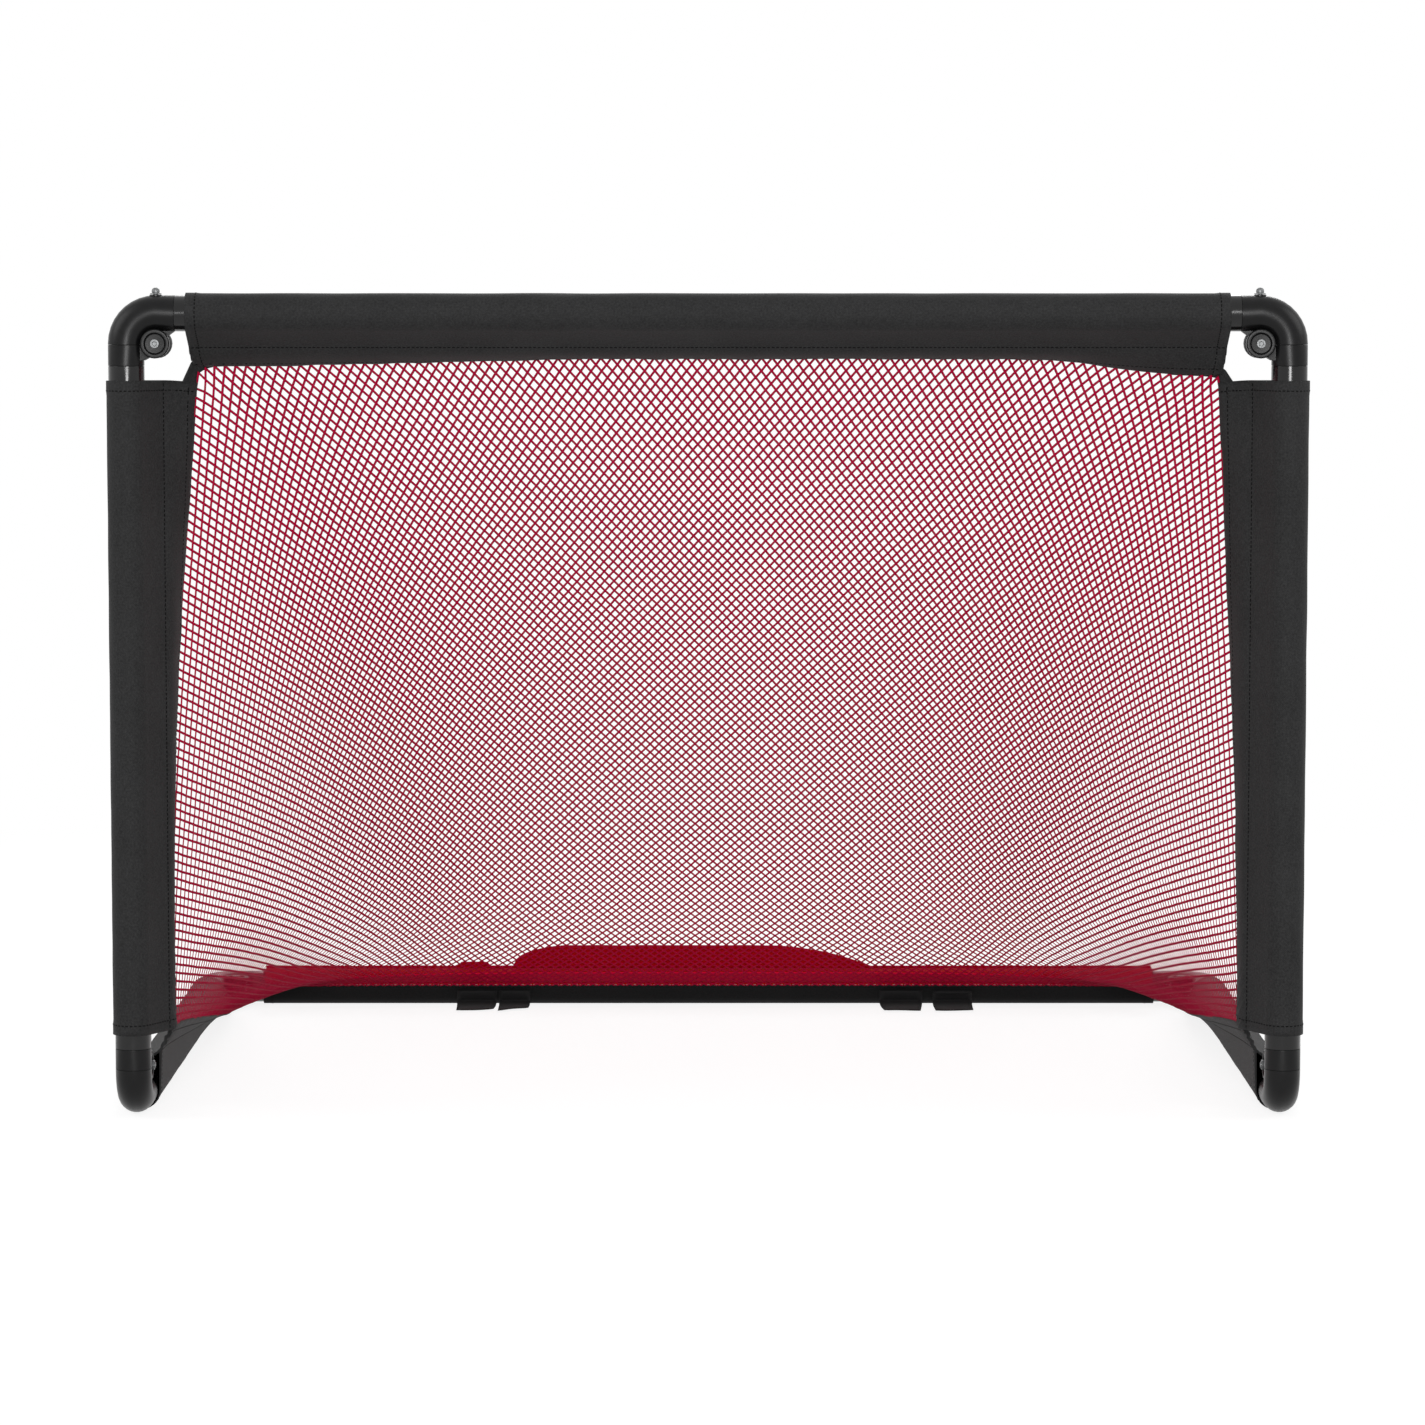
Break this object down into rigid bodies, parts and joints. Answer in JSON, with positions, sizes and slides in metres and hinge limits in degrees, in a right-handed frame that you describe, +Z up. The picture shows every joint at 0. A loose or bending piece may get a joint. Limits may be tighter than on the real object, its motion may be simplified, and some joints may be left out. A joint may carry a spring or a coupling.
{
  "type": "folding hockey goal",
  "caption": "Portable folding hockey goal with a sleeved tubular frame, hinged corner mouldings and a red diamond net.",
  "frame": {"origin": "centre of the whole goal's footprint, on the floor", "axes": "+X across the mouth to the right seen from the front, +Y from the mouth back to the rear bar, +Z up"},
  "size_m": [1.198, 0.8356, 0.8352],
  "materials": {
    "tube_black": "gloss black powder coat",
    "moulding_black": "satin black moulded nylon",
    "fastener_steel": "zinc-plated bright",
    "sleeve_black": "woven polyester",
    "flap_red": "woven polyester",
    "strap_black": "hook-and-loop webbing",
    "netting_red": "twisted polyester netting"
  },
  "bodies": {
    "front": {"crossbar_tube": "tube_black", "left_post_tube": "tube_black", "right_post_tube": "tube_black", "top_left_elbow": "moulding_black", "top_left_knuckle": "moulding_black", "top_left_pivot_bolt": "fastener_steel", "top_left_pivot_nut": "fastener_steel", "top_left_clamp_screw": "fastener_steel", "top_left_clamp_washer": "fastener_steel", "bottom_left_knuckle": "moulding_black", "bottom_left_pivot_bolt": "fastener_steel", "bottom_left_pivot_nut": "fastener_steel", "top_right_elbow": "moulding_black", "top_right_knuckle": "moulding_black", "top_right_pivot_bolt": "fastener_steel", "top_right_pivot_nut": "fastener_steel", "top_right_clamp_screw": "fastener_steel", "top_right_clamp_washer": "fastener_steel", "bottom_right_knuckle": "moulding_black", "bottom_right_pivot_bolt": "fastener_steel", "bottom_right_pivot_nut": "fastener_steel", "crossbar_sleeve": "sleeve_black", "left_post_sleeve": "sleeve_black", "right_post_sleeve": "sleeve_black", "left_corner_patch": "sleeve_black", "right_corner_patch": "sleeve_black", "net": "netting_red"},
    "base": {"left_ground_tube": "tube_black", "right_ground_tube": "tube_black", "rear_bar_tube": "tube_black", "bottom_left_elbow": "moulding_black", "bottom_left_set_screw": "fastener_steel", "rear_left_elbow": "moulding_black", "rear_left_knuckle": "moulding_black", "rear_left_pivot_bolt": "fastener_steel", "rear_left_pivot_nut": "fastener_steel", "rear_left_clamp_screw": "fastener_steel", "rear_left_clamp_washer": "fastener_steel", "bottom_right_elbow": "moulding_black", "bottom_right_set_screw": "fastener_steel", "rear_right_elbow": "moulding_black", "rear_right_knuckle": "moulding_black", "rear_right_pivot_bolt": "fastener_steel", "rear_right_pivot_nut": "fastener_steel", "rear_right_clamp_screw": "fastener_steel", "rear_right_clamp_washer": "fastener_steel", "left_ground_sleeve": "sleeve_black", "right_ground_sleeve": "sleeve_black", "rear_bar_sleeve": "sleeve_black", "rear_bar_flap": "flap_red", "left_ground_flap": "sleeve_black", "right_ground_flap": "sleeve_black", "left_strap_loop_tab": "strap_black", "left_strap_hook_tab": "strap_black", "right_strap_hook_tab": "strap_black", "right_strap_loop_tab": "strap_black"}
  },
  "joints": [
    {"name": "base_fold", "type": "hinge", "parent": "front", "child": "base", "pos_m": [0, -0.3678, 0.04962], "axis": [1, 0, 0], "range_deg": [0, 90], "deforming": ["net", "left_ground_flap", "right_ground_flap", "rear_bar_flap"]}
  ]
}
